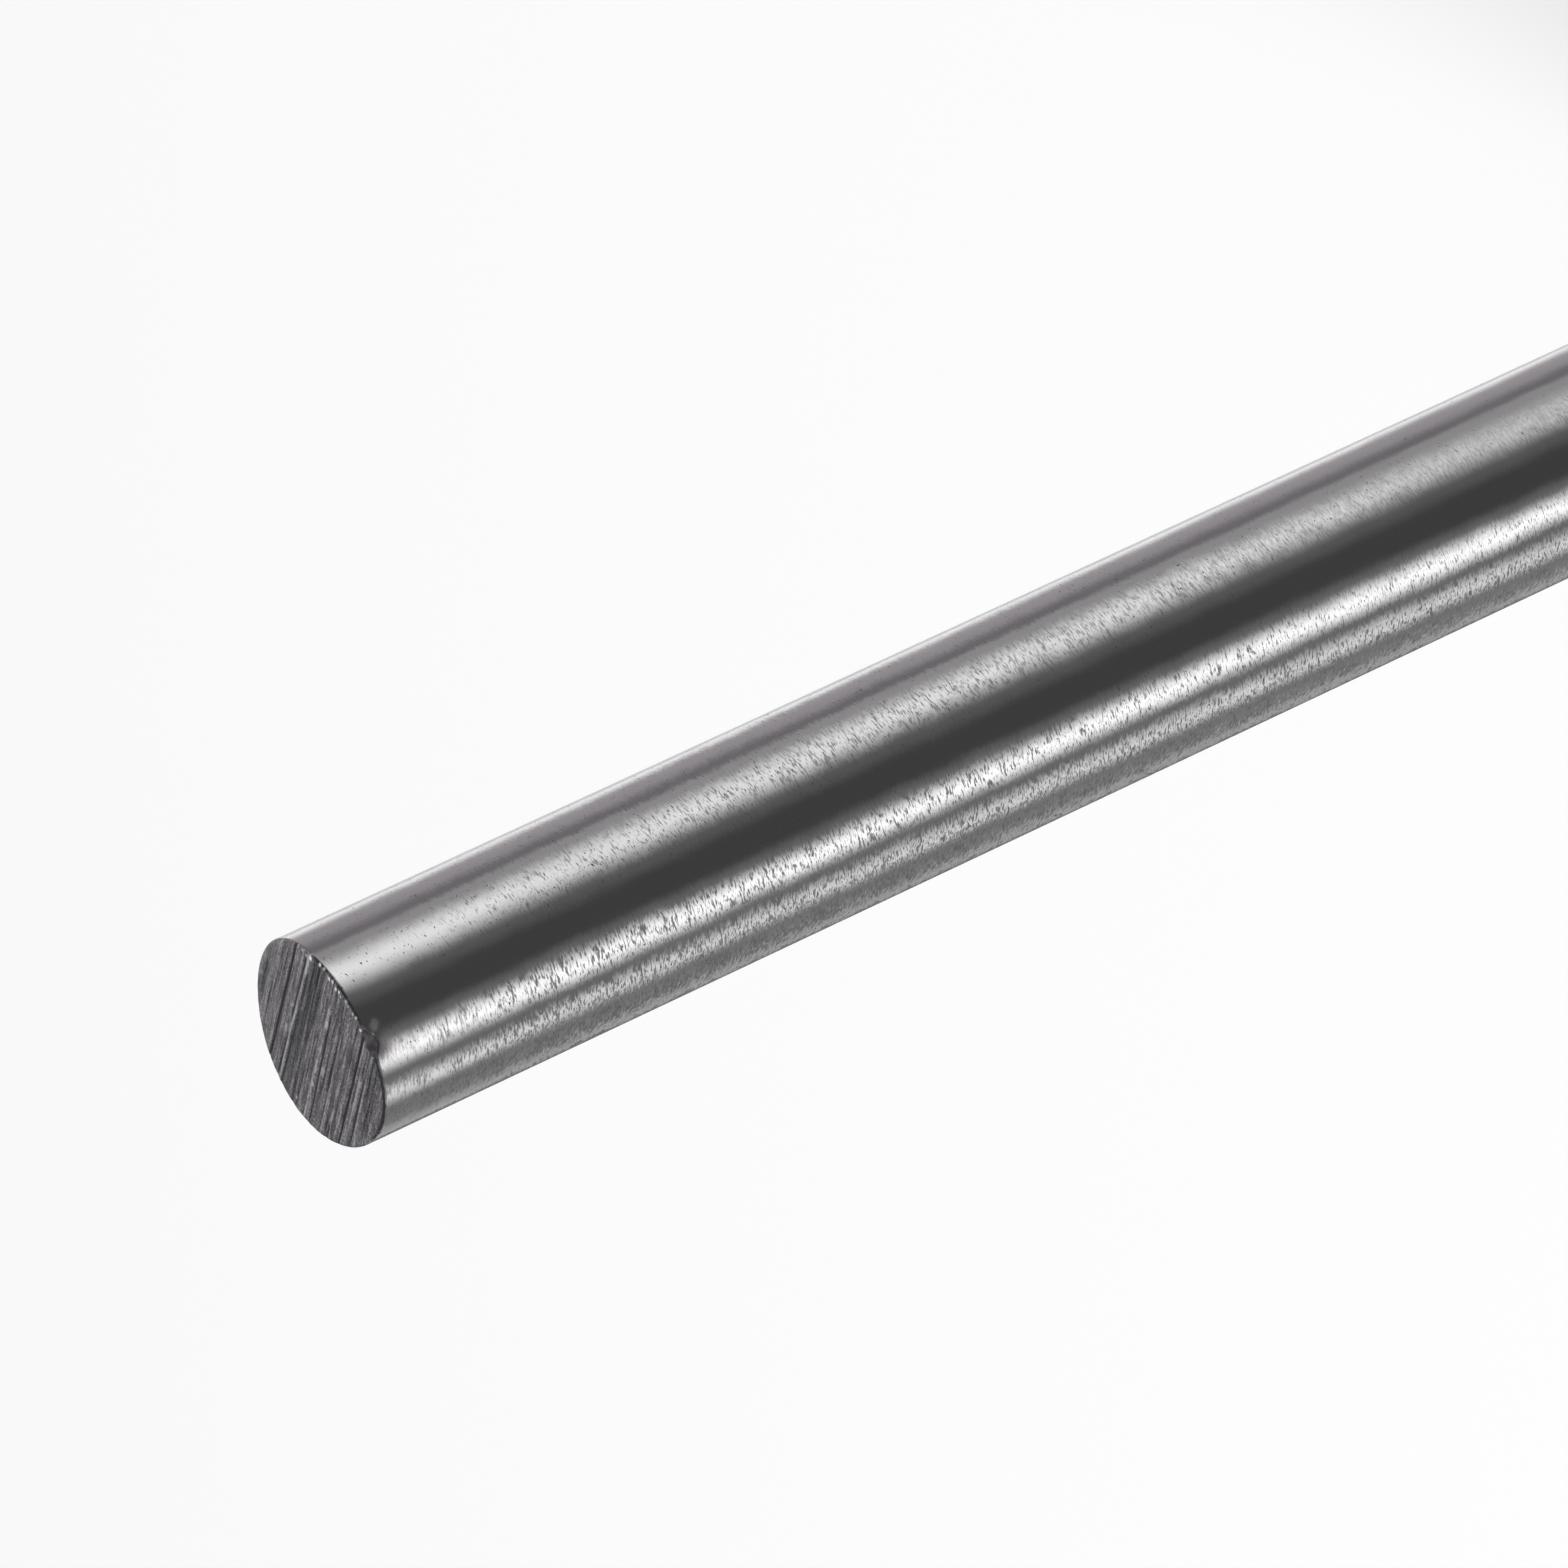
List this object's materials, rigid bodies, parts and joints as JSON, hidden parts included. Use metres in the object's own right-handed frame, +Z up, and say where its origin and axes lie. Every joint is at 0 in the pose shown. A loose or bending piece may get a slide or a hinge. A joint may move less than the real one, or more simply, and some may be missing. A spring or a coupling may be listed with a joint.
{
  "type": "graphite rod",
  "caption": "Plain round graphite rod, ground barrel, sawn ends, for use as an electrode, stirrer, heating element or raw stock.",
  "frame": {"origin": "on the floor, on the rod's axis, as it stands on its flat end", "axes": "+Z up the rod, from the flat square-sawn end that it stands on to the bowed saw cut; +Y along the strokes of the saw on the top end; +X across them"},
  "size_m": [0.01, 0.01, 0.1],
  "materials": {
    "graphite": "satin"
  },
  "bodies": {
    "root": {"graphite_rod": "graphite"}
  },
  "joints": []
}
